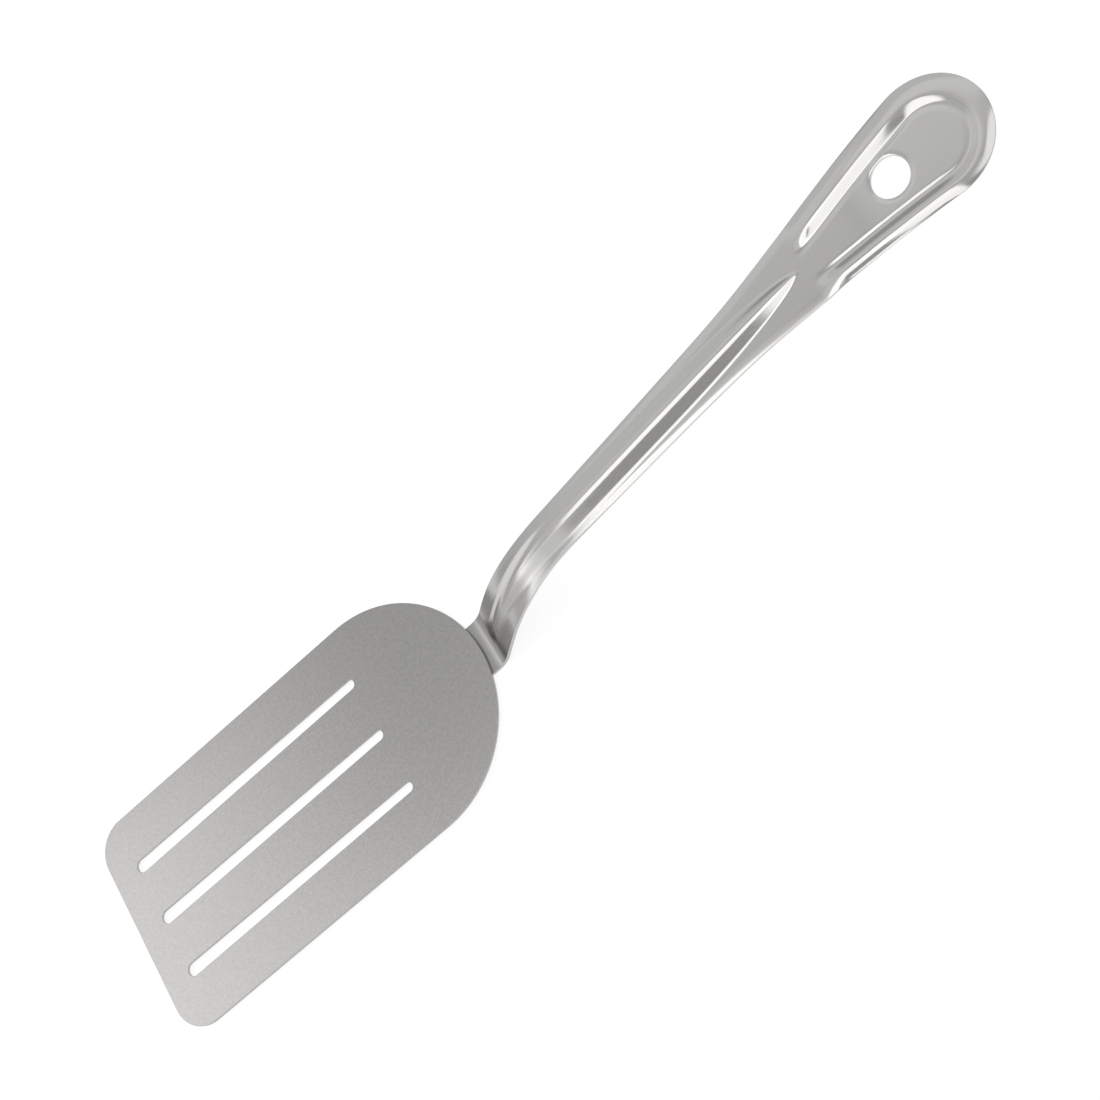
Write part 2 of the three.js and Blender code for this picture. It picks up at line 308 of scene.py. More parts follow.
def satin_stainless(colour):
    """Stainless sheet with a fine blasted finish: a soft sheen with a faint even speckle and no lines."""
    # Real blast grain is finer, and is drawn coarse enough to show
    grain_size = 0.8 * MM
    speckle = 0.06
    material, tree, output = new_material("satin stainless steel")
    place = add_node(tree, "ShaderNodeTexCoord").outputs["Object"]
    grain = add_node(tree, "ShaderNodeTexNoise", {"Vector": place, "Scale": 1 / grain_size, "Detail": 2.0})
    tone = add_node(tree, "ShaderNodeMapRange", {
        "Value": grain.outputs[0], "From Min": NOISE_LOW, "From Max": NOISE_HIGH,
        "To Min": 1 - speckle, "To Max": 1 + speckle})
    speckled = add_node(tree, "ShaderNodeMix", {
        MIX_FACTOR: 1.0, MIX_A: linear(colour), MIX_B: tone.outputs[0]},
        data_type="RGBA", blend_type="MULTIPLY")
    blasted = add_node(tree, "ShaderNodeBump", {
        "Height": grain.outputs[0], "Strength": 0.3, "Distance": 0.02 * MM})
    steel = add_node(tree, "ShaderNodeBsdfPrincipled", {
        "Base Color": speckled.outputs[MIX_RESULT], "Metallic": 1.0, "Roughness": 0.27,
        "Normal": blasted.outputs[0]})
    tree.links.new(steel.outputs[0], output.inputs["Surface"])
    return material


def fused_stainless(colour):
    """Steel that melted and set between the sheets: dull grey with a coarse, slightly mottled skin."""
    mottle_size = 1.2 * MM
    smoothest, roughest = 0.5, 0.7
    material, tree, output = new_material("fused stainless steel")
    place = add_node(tree, "ShaderNodeTexCoord").outputs["Object"]
    mottle = add_node(tree, "ShaderNodeTexNoise", {"Vector": place, "Scale": 1 / mottle_size, "Detail": 3.0})
    roughness = add_node(tree, "ShaderNodeMapRange", {
        "Value": mottle.outputs[0], "From Min": NOISE_LOW, "From Max": NOISE_HIGH,
        "To Min": smoothest, "To Max": roughest})
    skin = add_node(tree, "ShaderNodeBump", {
        "Height": mottle.outputs[0], "Strength": 0.4, "Distance": 0.05 * MM})
    steel = add_node(tree, "ShaderNodeBsdfPrincipled", {
        "Base Color": linear(colour), "Metallic": 1.0, "Roughness": roughness.outputs[0],
        "Normal": skin.outputs[0]})
    tree.links.new(steel.outputs[0], output.inputs["Surface"])
    return material


def studio_paper(colour):
    """White paper, bright to the camera and in the steel, that still takes a faint shadow."""
    glow = 0.84
    shaded_share = 0.3
    material, tree, output = new_material("white studio paper")
    path = add_node(tree, "ShaderNodeLightPath")
    camera_or_glossy = add_node(tree, "ShaderNodeMath", {
        0: path.outputs["Is Camera Ray"], 1: path.outputs["Is Glossy Ray"]}, operation="MAXIMUM")
    seen = add_node(tree, "ShaderNodeMath", {
        0: camera_or_glossy.outputs[0], 1: path.outputs["Is Transmission Ray"]}, operation="MAXIMUM")
    paper = add_node(tree, "ShaderNodeBsdfDiffuse", {"Color": linear(colour)})
    shaded = add_node(tree, "ShaderNodeBsdfDiffuse", {"Color": (shaded_share,) * 3 + (1.0,)})
    bright = add_node(tree, "ShaderNodeEmission", {"Color": WHITE, "Strength": glow})
    lit = add_node(tree, "ShaderNodeAddShader", {0: shaded.outputs[0], 1: bright.outputs[0]})
    mixed = add_node(tree, "ShaderNodeMixShader", {
        0: seen.outputs[0], 1: paper.outputs[0], 2: lit.outputs[0]})
    tree.links.new(mixed.outputs[0], output.inputs["Surface"])
    return material


# Geometry trees


def new_tree(name, sizes):
    """Start a geometry tree with one named input for each size; gives the tree and its inputs by name."""
    tree = bpy.data.node_groups.new(name, "GeometryNodeTree")
    tree.interface.new_socket("Geometry", in_out="OUTPUT", socket_type="NodeSocketGeometry")
    tree.interface.new_socket("Geometry", in_out="INPUT", socket_type="NodeSocketGeometry")
    kinds = {int: "Int", float: "Float", bpy.types.Object: "Object", bpy.types.Material: "Material"}
    for label, value in sizes.items():
        tree.interface.new_socket(label, in_out="INPUT", socket_type="NodeSocket" + kinds[type(value)])
    group_inputs = add_node(tree, "NodeGroupInput").outputs
    return tree, {socket.name: socket for socket in group_inputs}


def end_tree(tree, geometry, material):
    """Close a geometry tree: plain geometry in one material."""
    real = add_node(tree, "GeometryNodeRealizeInstances", {0: geometry})
    coated = add_node(tree, "GeometryNodeSetMaterial", {"Geometry": real.outputs[0], "Material": material})
    add_node(tree, "NodeGroupOutput", {0: coated.outputs[0]})


def run_tree(piece, tree, sizes):
    """Put a geometry tree on a piece, with its sizes."""
    modifier = piece.modifiers.new(tree.name, "NODES")
    modifier.node_group = tree
    for item in tree.interface.items_tree:
        if item.in_out == "INPUT" and item.name in sizes:
            modifier[item.identifier] = sizes[item.name]


def new_piece(name, mesh=None):
    """An object at the origin, linked to the scene."""
    piece = bpy.data.objects.new(name, mesh or bpy.data.meshes.new(name))
    bpy.context.scene.collection.objects.link(piece)
    return piece


def settle(piece):
    """Turn a piece and its modifiers into one plain mesh."""
    bpy.context.view_layer.update()
    graph = bpy.context.evaluated_depsgraph_get()
    mesh = bpy.data.meshes.new_from_object(
        piece.evaluated_get(graph), preserve_all_data_layers=True, depsgraph=graph)
    piece.modifiers.clear()
    piece.data = mesh
    mesh.name = piece.name


def round_edges(piece, radius):
    """Round a sheet's cut edges."""
    bevel = piece.modifiers.new("deburred edges", "BEVEL")
    bevel.limit_method = "ANGLE"
    bevel.angle_limit = math.radians(50)
    bevel.width = radius
    bevel.segments = 2
    bevel.use_clamp_overlap = False
    bevel.harden_normals = True


def hand_over(piece, node):
    """Let a piece stand for its CAD node."""
    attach(piece, BODY)
    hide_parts(node)


def blade_tree(sizes):
    """Blade: a filleted outline, a row of tapered slots, filled and raised to the sheet's thickness."""
    tree, given = new_tree("slotted blade", sizes)
    position = add_node(tree, "GeometryNodeInputPosition").outputs[0]
    place = add_node(tree, "ShaderNodeSeparateXYZ", {0: position})
    is_rear = add_node(tree, "FunctionNodeCompare", {0: place.outputs["X"], 1: 0.0}, operation="GREATER_THAN")

    half_width = add_node(tree, "ShaderNodeMath", {0: given["Width"], 1: 0.5}, operation="MULTIPLY")
    half_length = add_node(tree, "ShaderNodeMath", {0: given["Length"], 1: 0.5}, operation="MULTIPLY")
    corner = add_node(tree, "GeometryNodeSwitch", {
        0: is_rear.outputs[0], 1: given["Corner Radius"], 2: half_width.outputs[0]}, input_type="FLOAT")
    sheet = add_node(tree, "GeometryNodeCurvePrimitiveQuadrilateral", {
        "Width": given["Length"], "Height": given["Width"]})
    rounded = add_node(tree, "GeometryNodeFilletCurve", {
        "Curve": sheet.outputs[0], "Count": ARC_POINTS, "Radius": corner.outputs[0], "Limit Radius": True},
        mode="POLY")
    middle = add_node(tree, "ShaderNodeCombineXYZ", {"X": half_length.outputs[0]})
    outline = add_node(tree, "GeometryNodeTransform", {
        "Geometry": rounded.outputs[0], "Translation": middle.outputs[0]})

    radius = add_node(tree, "GeometryNodeSwitch", {
        0: is_rear.outputs[0], 1: given["Slot Front Radius"], 2: given["Slot Rear Radius"]},
        input_type="FLOAT")
    centre = add_node(tree, "GeometryNodeSwitch", {
        0: is_rear.outputs[0], 1: given["Slot Front"], 2: given["Slot Rear"]}, input_type="FLOAT")
    slot_end = add_node(tree, "ShaderNodeCombineXYZ", {"X": centre.outputs[0]})
    arc = add_node(tree, "ShaderNodeVectorMath", {
        0: position, 1: radius.outputs[0], 2: slot_end.outputs[0]}, operation="MULTIPLY_ADD")
    circle = add_node(tree, "GeometryNodeCurvePrimitiveCircle", {"Resolution": SLOT_POINTS, "Radius": 1.0})
    slot = add_node(tree, "GeometryNodeSetPosition", {
        "Geometry": circle.outputs[0], "Position": arc.outputs[0]})

    pitch = add_node(tree, "ShaderNodeCombineXYZ", {"Y": given["Slot Pitch"]})
    gaps = add_node(tree, "ShaderNodeMath", {0: given["Slot Count"], 1: 1.0}, operation="SUBTRACT")
    half_gaps = add_node(tree, "ShaderNodeMath", {0: gaps.outputs[0], 1: -0.5}, operation="MULTIPLY")
    first_y = add_node(tree, "ShaderNodeMath", {
        0: half_gaps.outputs[0], 1: given["Slot Pitch"]}, operation="MULTIPLY")
    first = add_node(tree, "ShaderNodeCombineXYZ", {"Y": first_y.outputs[0]})
    row = add_node(tree, "GeometryNodeMeshLine", {
        "Count": given["Slot Count"], "Start Location": first.outputs[0], "Offset": pitch.outputs[0]})
    slots = add_node(tree, "GeometryNodeInstanceOnPoints", {
        "Points": row.outputs[0], "Instance": slot.outputs[0]})
    real_slots = add_node(tree, "GeometryNodeRealizeInstances", {0: slots.outputs[0]})

    cuts = add_node(tree, "GeometryNodeJoinGeometry")
    for part in (outline, real_slots):
        tree.links.new(part.outputs[0], cuts.inputs[0])
    flat = add_node(tree, "GeometryNodeFillCurve", {"Curve": cuts.outputs[0]}, mode="NGONS")
    thickness = add_node(tree, "ShaderNodeCombineXYZ", {"Z": given["Sheet"]})
    raised = add_node(tree, "GeometryNodeExtrudeMesh", {
        "Mesh": flat.outputs[0], "Offset": thickness.outputs[0], "Individual": False}, mode="FACES")
    under = add_node(tree, "GeometryNodeFlipFaces", {"Mesh": flat.outputs[0]})
    both = add_node(tree, "GeometryNodeJoinGeometry")
    for part in (raised, under):
        tree.links.new(part.outputs[0], both.inputs[0])
    closed = add_node(tree, "GeometryNodeMergeByDistance", {
        "Geometry": both.outputs[0], "Distance": 0.001 * MM})
    smooth = add_node(tree, "GeometryNodeSetShadeSmooth", {"Geometry": closed.outputs[0]})
    seat = add_node(tree, "ShaderNodeCombineXYZ", {"X": given["Front"], "Z": given["Underside"]})
    placed = add_node(tree, "GeometryNodeTransform", {
        "Geometry": smooth.outputs[0], "Translation": seat.outputs[0]})
    end_tree(tree, placed.outputs[0], given["Material"])
    return tree


class TURNER_OT_blade(bpy.types.Operator):
    """Stamp the slotted blade from its sheet"""

    bl_idname = "turner.blade"
    bl_label = "Slotted blade"

    def execute(self, context):
        blade = context.scene.turner_blade
        front_radius = blade.slot_front_width / 2
        rear_radius = blade.slot_rear_width / 2
        sizes = {
            "Length": blade.length,
            "Width": blade.width,
            "Sheet": blade.sheet,
            "Corner Radius": blade.corner_radius,
            "Slot Count": blade.slot_count,
            "Slot Pitch": blade.slot_pitch,
            "Slot Front Radius": front_radius,
            "Slot Rear Radius": rear_radius,
            "Slot Front": blade.slot_front_inset + front_radius,
            "Slot Rear": blade.length - blade.slot_rear_inset - rear_radius,
            "Front": blade_low.x,
            "Underside": blade_low.z,
            "Material": satin_stainless(context.scene.turner_finish.satin),
        }
        piece = new_piece("slotted_blade")
        run_tree(piece, blade_tree(sizes), sizes)
        round_edges(piece, blade.edge_round)
        settle(piece)
        hand_over(piece, "blade")
        return {"FINISHED"}


# Handle


class HandleLines:
    """The handle's side profile and outline, and the places along its sheet."""

    def __init__(self, handle):
        self.handle = handle
        lap = handle.tongue_lap + handle.heel_gap - handle.tongue_width / 2
        neck_turn = handle.shaft_start - handle.neck_angle
        self.lengths = [
            lap,
            handle.heel_radius * handle.neck_angle,
            handle.neck_length,
            -handle.neck_radius * neck_turn,
            handle.shaft_length,
            handle.end_length,
        ]
        self.turns = [
            0,
            handle.neck_angle,
            0,
            neck_turn,
            handle.shaft_end - handle.shaft_start,
            handle.end_angle - handle.shaft_end,
        ]
        self.knots = np.concatenate([[0], np.cumsum(self.lengths)])
        self.heel_start, self.neck_start, _, self.waist, _, self.loop_centre = self.knots[1:]
        self.hole_centre = self.loop_centre - handle.hole_setback
        self.rim_start = self.loop_centre - handle.rim_reach
        self.rib_tip = self.rim_start - handle.rib_to_rim
        self.rib_nose = self.heel_start + handle.rib_nose_setback

    def rise(self, along):
        """Slope angle of the sheet, with every change of curvature eased in."""
        handle = self.handle
        curvature = np.array([0, *np.divide(self.turns, self.lengths), 0])
        total = np.zeros_like(along)
        for knot, step in zip(self.knots, np.diff(curvature)):
            ease = handle.heel_ease if knot <= self.neck_start else handle.neck_ease
            past = along - knot
            eased = (past + ease / 2) ** 2 / (2 * ease)
            total += step * np.where(past > ease / 2, past, np.where(past < -ease / 2, 0, eased))
        return total

    def spine(self):
        """Points of the sheet's middle line, from the tongue's tip to past the loop's end."""
        front = self.handle.tongue_width / 2
        end = self.loop_centre + 2 * self.handle.loop_radius
        along = np.arange(-front, end, SPINE_STEP)
        rise = self.rise(along + SPINE_STEP / 2)
        steps = np.column_stack([np.cos(rise), np.zeros_like(rise), np.sin(rise)]) * SPINE_STEP
        start = [handle_low.x, 0, blade_low.z]
        return np.vstack([start, start + np.cumsum(steps, axis=0)])

    def half_width(self, along):
        """Radius of the circle that the outline wraps at a place on the middle line."""
        handle = self.handle
        narrowing = smoothstep(along, self.neck_start, self.waist)
        neck = (handle.tongue_width + (handle.waist_width - handle.tongue_width) * narrowing) / 2
        shaft = neck + math.tan(handle.shaft_flare) * np.maximum(0, along - self.waist)
        loop = handle.loop_radius - math.sin(handle.loop_flare) * (self.loop_centre - along)
        return (shaft + loop + np.hypot(shaft - loop, handle.flare_blend)) / 2

    def spoke(self, along):
        """Cosine and sine of the angle at which a spoke has to leave to meet the outline squarely."""
        cosine = (self.half_width(along - TINY) - self.half_width(along + TINY)) / (2 * TINY)
        return cosine, np.sqrt(1 - cosine ** 2)

    def edge_distance(self, along, across):
        """Distance of points of the blank from the outline, and how far the outline there faces left."""
        centre = np.clip(along, 0, self.loop_centre)
        for _ in range(OUTLINE_TRIES):
            cosine, sine = self.spoke(centre)
            centre = np.clip(along - np.abs(across) * cosine / sine, 0, self.loop_centre)
        radius = np.hypot(along - centre, across)
        return self.half_width(centre) - radius, across / np.maximum(radius, TINY)


class Blank:
    """The handle's flat blank: points along and across, and faces seen from above."""

    def __init__(self, lines):
        self.lines = lines
        self.points = []
        self.faces = []
        self.rows = self.add_rows()
        self.add_round_end(self.rows[-1], lines.loop_centre, 1)
        self.add_round_end(self.rows[0], 0, -1)

    def add_point(self, along, across):
        """Add a point and give its number."""
        self.points.append((along, across))
        return len(self.points) - 1

    def add_rows(self):
        """Rows of points across the sheet, joined by quads outside the patch round the hole."""
        lines = self.lines
        stations = [0.0]
        for length, count in zip(lines.lengths, RUN_ROWS):
            stations += list(stations[-1] + length * np.arange(1, count + 1) / count)
        shares = np.arange(-HALF_COLUMNS, HALF_COLUMNS + 1) / HALF_COLUMNS
        rows = []
        for along in stations:
            radius = lines.half_width(along)
            cosine, sine = lines.spoke(along)
            rows.append([self.add_point(along + abs(k) * radius * cosine, k * radius * sine) for k in shares])
        patch = HOLE_PATCH * lines.handle.hole_diameter / 2
        row_near = [i for i, along in enumerate(stations) if abs(along - lines.hole_centre) < patch]
        radius = lines.half_width(lines.hole_centre)
        column_near = [j for j, k in enumerate(shares) if abs(k) * radius < patch]
        for i in range(len(rows) - 1):
            for j in range(2 * HALF_COLUMNS):
                in_patch = row_near[0] <= i < row_near[-1] and column_near[0] <= j < column_near[-1]
                if not in_patch:
                    self.faces.append((rows[i][j], rows[i + 1][j], rows[i + 1][j + 1], rows[i][j + 1]))
        self.add_hole(rows, row_near, column_near)
        return rows

    def add_hole(self, rows, row_near, column_near):
        """Rings of quads from the patch's border in to the hole's edge."""
        lines = self.lines
        right = [rows[i][column_near[0]] for i in row_near]
        back = [rows[row_near[-1]][j] for j in column_near]
        left = [rows[i][column_near[-1]] for i in reversed(row_near)]
        front = [rows[row_near[0]][j] for j in reversed(column_near)]
        border = right[:-1] + back[:-1] + left[:-1] + front[:-1]
        centre = np.array([lines.hole_centre, 0])
        outer = border
        for ring in range(1, HOLE_RINGS + 1):
            share = 1 - (1 - ring / HOLE_RINGS) ** RING_CROWDING
            inner = []
            for index in border:
                start = np.array(self.points[index])
                out = (start - centre) / np.linalg.norm(start - centre)
                end = centre + out * lines.handle.hole_diameter / 2
                inner.append(self.add_point(*(start + (end - start) * share)))
            for p in range(len(border)):
                q = (p + 1) % len(border)
                self.faces.append((outer[p], outer[q], inner[q], inner[p]))
            outer = inner

    def add_round_end(self, row, along, side):
        """Fan of spokes round an end: side 1 is the loop's, side -1 the tongue's."""
        radius = self.lines.half_width(along)
        cosine, sine = self.lines.spoke(along)
        sweep = math.atan2(sine, side * cosine)
        halves = [row[HALF_COLUMNS:], row[HALF_COLUMNS::-1]]
        spokes = [halves[0] if side > 0 else halves[1]]
        for turn in np.linspace(sweep, -sweep, CAP_SPOKES + 1)[1:-1]:
            spoke = [row[HALF_COLUMNS]]
            for k in np.arange(1, HALF_COLUMNS + 1) / HALF_COLUMNS:
                spoke.append(self.add_point(
                    along + side * k * radius * math.cos(turn), side * k * radius * math.sin(turn)))
            spokes.append(spoke)
        spokes.append(halves[1] if side > 0 else halves[0])
        for a, b in zip(spokes, spokes[1:]):
            self.faces.append((a[0], b[1], a[1]))
            for j in range(1, HALF_COLUMNS):
                self.faces.append((b[j], b[j + 1], a[j + 1], a[j]))

    def mesh(self, name):
        """The blank as a mesh that keeps each point's distance from its outline and the pressing's border."""
        used = np.unique(np.concatenate([np.ravel(face) for face in self.faces]))
        number = {old: new for new, old in enumerate(used)}
        flat = np.array(self.points)[used]
        faces = [[number[i] for i in face] for face in self.faces]
        mesh = bpy.data.meshes.new(name)
        mesh.from_pydata(np.column_stack([flat, np.zeros(len(flat))]), [], faces)
        edge, leftward = self.lines.edge_distance(flat[:, 0], flat[:, 1])
        border = edge - self.lines.handle.press_offset * leftward
        for label, values in (("edge", edge), ("border", border)):
            mesh.attributes.new(label, "FLOAT", "POINT").data.foreach_set("value", values.astype(np.float32))
        return mesh


# How high the press lifts the sheet
PRESS_RULE = (
    # Rib: a rounded hump that narrows to a tip towards the loop and rises from a nose at the heel
    ("taper", "LINEAR", "along", "Rib Taper", "Rib Tip"),
    ("taper", "POWER", "taper", 2.0),
    ("share", "SUBTRACT", 1.0, "taper"),
    ("share", "SQRT", "share"),
    ("rib half", "SMOOTHSTEP", "along", "Rib Nose", "Waist", "Rib Neck Half", "Rib Half"),
    ("rib half", "MULTIPLY", "rib half", "share"),
    ("off axis", "ABSOLUTE", "across"),
    ("flank", "DIVIDE", "off axis", "rib half"),
    ("flank", "MINIMUM", "flank", 1.0),
    ("flank", "POWER", "flank", 2.0),
    ("hump", "SUBTRACT", 1.0, "flank"),
    ("hump", "POWER", "hump", 2.0),
    ("nose", "SMOOTHSTEP", "along", "Rib Nose", "Rib Nose End"),
    ("rib", "MULTIPLY", "hump", "nose"),
    ("rib", "MULTIPLY", "rib", "share"),
    ("rib", "MULTIPLY", "rib", "Rib Height"),
    ("swell", "SMOOTHSTEP", "along", "Rib Nose End", "Rib Full", "Rib Neck Share", 1.0),
    ("rib", "MULTIPLY", "rib", "swell"),
    # Rim: it falls from its crest out to the outline, and in to a groove round the flat panel
    ("inset", "SUBTRACT", "edge", "border"),
    ("inset", "ADD", "inset", "Rim Crest"),
    ("outer", "DIVIDE", "edge", "inset"),
    ("outer", "SUBTRACT", 1.0, "outer"),
    ("outer", "MAXIMUM", "outer", 0.0),
    ("outer", "POWER", "outer", 2.0),
    ("outer", "MULTIPLY", "outer", "Rim Fall"),
    ("inner", "SMOOTHSTEP", "border", "Rim Crest", "Rim Foot", "Rim Height", 0.0),
    ("rim", "SUBTRACT", "inner", "outer"),
    ("groove", "SUBTRACT", "border", "Rim Foot"),
    ("groove", "DIVIDE", "groove", "Groove Half"),
    ("groove", "POWER", "groove", 2.0),
    ("groove", "MINIMUM", "groove", 1.0),
    ("groove", "SUBTRACT", 1.0, "groove"),
    ("groove", "POWER", "groove", 2.0),
    ("groove", "MULTIPLY", "groove", "Rim Groove"),
    ("rim", "SUBTRACT", "rim", "groove"),
    ("rim run", "SMOOTHSTEP", "along", "Rim Start", "Rim Full"),
    ("rim", "MULTIPLY", "rim", "rim run"),
    ("rim end", "SMOOTHSTEP", "along", "Rim Sink", "Rim End", 1.0, "Rim End Share"),
    ("rim", "MULTIPLY", "rim", "rim end"),
    # Rolled edge: the outermost sheet curls down from the neck on
    ("roll", "LINEAR", "edge", 0.0, "Edge Roll", 1.0, 0.0),
    ("roll", "POWER", "roll", 2.0),
    ("roll run", "SMOOTHSTEP", "along", "Neck Start", "Waist"),
    ("roll", "MULTIPLY", "roll", "roll run"),
    ("drop", "SMOOTHSTEP", "along", "Waist", "Rim Start", "Edge Drop", "Loop Edge Drop"),
    ("roll", "MULTIPLY", "roll", "drop"),
    # Hole: its lip is drawn in by the punch
    ("from hole", "SUBTRACT", "along", "Hole Centre"),
    ("from hole", "POWER", "from hole", 2.0),
    ("off axis", "POWER", "off axis", 2.0),
    ("from hole", "ADD", "from hole", "off axis"),
    ("from hole", "SQRT", "from hole"),
    ("lip", "LINEAR", "from hole", "Hole Radius", "Lip Radius", 1.0, 0.0),
    ("lip", "POWER", "lip", 2.0),
    ("lip", "MULTIPLY", "lip", "Hole Drop"),
    # Together, and where the sheet lies on the spine
    ("lift", "ADD", "rib", "rim"),
    ("lift", "SUBTRACT", "lift", "roll"),
    ("lift", "SUBTRACT", "lift", "lip"),
    ("reach", "ADD", "along", "Tongue Radius"),
)


def press_tree(sizes):
    """Handle: lift the flat blank by the press rule, then bend it along the spine."""
    tree, known = new_tree("press and bend", sizes)
    geometry = known["Geometry"]
    position = add_node(tree, "GeometryNodeInputPosition")
    place = add_node(tree, "ShaderNodeSeparateXYZ", {0: position.outputs[0]})
    known["along"] = place.outputs["X"]
    known["across"] = place.outputs["Y"]
    for label in ("edge", "border"):
        known[label] = add_node(tree, "GeometryNodeInputNamedAttribute", {"Name": label}).outputs[0]
    work_out(tree, PRESS_RULE, known)

    spine = add_node(tree, "GeometryNodeObjectInfo", {"Object": known["Spine"]})
    on_spine = add_node(tree, "GeometryNodeSampleCurve", {
        "Curves": spine.outputs["Geometry"], "Length": known["reach"]}, mode="LENGTH", use_all_curves=True)
    ahead = add_node(tree, "ShaderNodeSeparateXYZ", {0: on_spine.outputs["Tangent"]})
    back = add_node(tree, "ShaderNodeMath", {0: ahead.outputs["Z"], 1: -1.0}, operation="MULTIPLY")
    upward = add_node(tree, "ShaderNodeCombineXYZ", {"X": back.outputs[0], "Z": ahead.outputs["X"]})
    sideways = add_node(tree, "ShaderNodeCombineXYZ", {"Y": known["across"]})
    bent = add_node(tree, "ShaderNodeVectorMath", {
        0: on_spine.outputs["Position"], 1: sideways.outputs[0]}, operation="ADD")
    pressed = add_node(tree, "ShaderNodeVectorMath", {
        0: upward.outputs[0], 1: known["lift"], 2: bent.outputs[0]}, operation="MULTIPLY_ADD")
    formed = add_node(tree, "GeometryNodeSetPosition", {
        "Geometry": geometry, "Position": pressed.outputs[0]})
    smooth = add_node(tree, "GeometryNodeSetShadeSmooth", {"Geometry": formed.outputs[0]})
    end_tree(tree, smooth.outputs[0], known["Material"])
    return tree


def spine_curve(lines):
    """The handle's middle line as a curve, for the tree to follow."""
    points = lines.spine()
    curve = bpy.data.curves.new("handle_spine", "CURVE")
    curve.dimensions = "3D"
    spline = curve.splines.new("POLY")
    spline.points.add(len(points) - 1)
    spline.points.foreach_set("co", np.column_stack([points, np.ones(len(points))]).ravel())
    spine = bpy.data.objects.new("handle_spine", curve)
    bpy.context.scene.collection.objects.link(spine)
    return spine


def press_electrode_marks(mesh, handle):
    """Dent the tongue's underside under each weld, level over most of the dent."""
    level_share = 0.75
    places = np.zeros(len(mesh.vertices) * 3)
    mesh.vertices.foreach_get("co", places)
    places = places.reshape(-1, 3)
    under = places[:, 2] < blade_low.z - handle.sheet / 2
    for node in WELD_NODES:
        low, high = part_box(node)
        middle = (low + high) / 2
        away = np.hypot(places[:, 0] - middle.x, places[:, 1] - middle.y)
        radius = handle.mark_diameter / 2
        dent = 1 - smoothstep(away, level_share * radius, radius)
        places[:, 2] += np.where(under, dent, 0) * handle.mark_depth
    mesh.vertices.foreach_set("co", places.ravel())
    mesh.update()


class TURNER_OT_handle(bpy.types.Operator):
    """Press and bend the handle from its flat blank"""

    bl_idname = "turner.handle"
    bl_label = "Pressed handle"

    def execute(self, context):
        handle = context.scene.turner_handle
        finish = context.scene.turner_finish
        lines = HandleLines(handle)
        spine = spine_curve(lines)
        sizes = {
            "Spine": spine,
            # The satin colour also darkens the handle's neck, as painted shade
            "Material": polished_stainless(finish.polished, finish.satin),
            "Tongue Radius": handle.tongue_width / 2,
            "Neck Start": lines.neck_start,
            "Waist": lines.waist,
            "Rib Nose": lines.rib_nose,
            "Rib Nose End": lines.rib_nose + handle.rib_nose_length,
            "Rib Full": lines.rib_nose + handle.rib_nose_length + handle.rib_swell_length,
            "Rib Neck Share": handle.rib_neck_share,
            "Rib Taper": lines.rib_tip - handle.rib_tip_length,
            "Rib Tip": lines.rib_tip,
            "Rib Neck Half": handle.rib_neck_width / 2,
            "Rib Half": handle.rib_width / 2,
            "Rib Height": handle.rib_height,
            "Rim Start": lines.rim_start,
            "Rim Full": lines.rim_start + handle.rim_runout,
            "Rim Sink": lines.loop_centre - handle.rim_end_length / 2,
            "Rim End": lines.loop_centre + handle.rim_end_length / 2,
            "Rim End Share": handle.rim_end_share,
            "Rim Crest": handle.rim_crest,
            "Rim Foot": handle.rim_foot,
            "Rim Height": handle.rim_height,
            "Rim Fall": handle.rim_fall,
            "Rim Groove": handle.rim_groove,
            "Groove Half": handle.groove_width / 2,
            "Edge Roll": handle.edge_roll,
            "Edge Drop": handle.edge_drop,
            "Loop Edge Drop": handle.loop_edge_drop,
            "Hole Centre": lines.hole_centre,
            "Hole Radius": handle.hole_diameter / 2,
            "Lip Radius": handle.hole_diameter / 2 + handle.hole_lip,
            "Hole Drop": handle.hole_drop,
        }
        sizes = {
            label: float(value) if isinstance(value, np.floating) else value
            for label, value in sizes.items()
        }
        piece = new_piece("pressed_handle", Blank(lines).mesh("pressed_handle"))
        run_tree(piece, press_tree(sizes), sizes)
        thickness = piece.modifiers.new("sheet", "SOLIDIFY")
        thickness.thickness = handle.sheet
        thickness.offset = -1
        thickness.use_even_offset = True
        settle(piece)
        bpy.data.objects.remove(spine)
        press_electrode_marks(piece.data, handle)
        round_edges(piece, handle.edge_round)
        settle(piece)
        hand_over(piece, "handle")
        return {"FINISHED"}


class TURNER_OT_welds(bpy.types.Operator):
    """Finish the weld nuggets between blade and tongue"""

    bl_idname = "turner.welds"
    bl_label = "Weld nuggets"

    def execute(self, context):
        material = fused_stainless(context.scene.turner_finish.fused)
        for node in WELD_NODES:
            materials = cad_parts[node].data.materials
            materials.clear()
            materials.append(material)
        return {"FINISHED"}


# Stage


def add_camera(stage):
    """Camera at the photograph's place, rolled about its line of sight."""
    camera = bpy.data.objects.new("camera", bpy.data.cameras.new("camera"))
    sight = Vector(stage.camera_target) - Vector(stage.camera_place)
    upright = sight.to_track_quat("-Z", "Y")
    camera.rotation_mode = "QUATERNION"
    camera.rotation_quaternion = upright @ Quaternion((0, 0, 1), -stage.camera_roll)
    camera.location = stage.camera_place
    camera.data.lens = stage.lens / MM
    camera.data.clip_start = 1 * MM
    bpy.context.scene.collection.objects.link(camera)
    bpy.context.scene.camera = camera


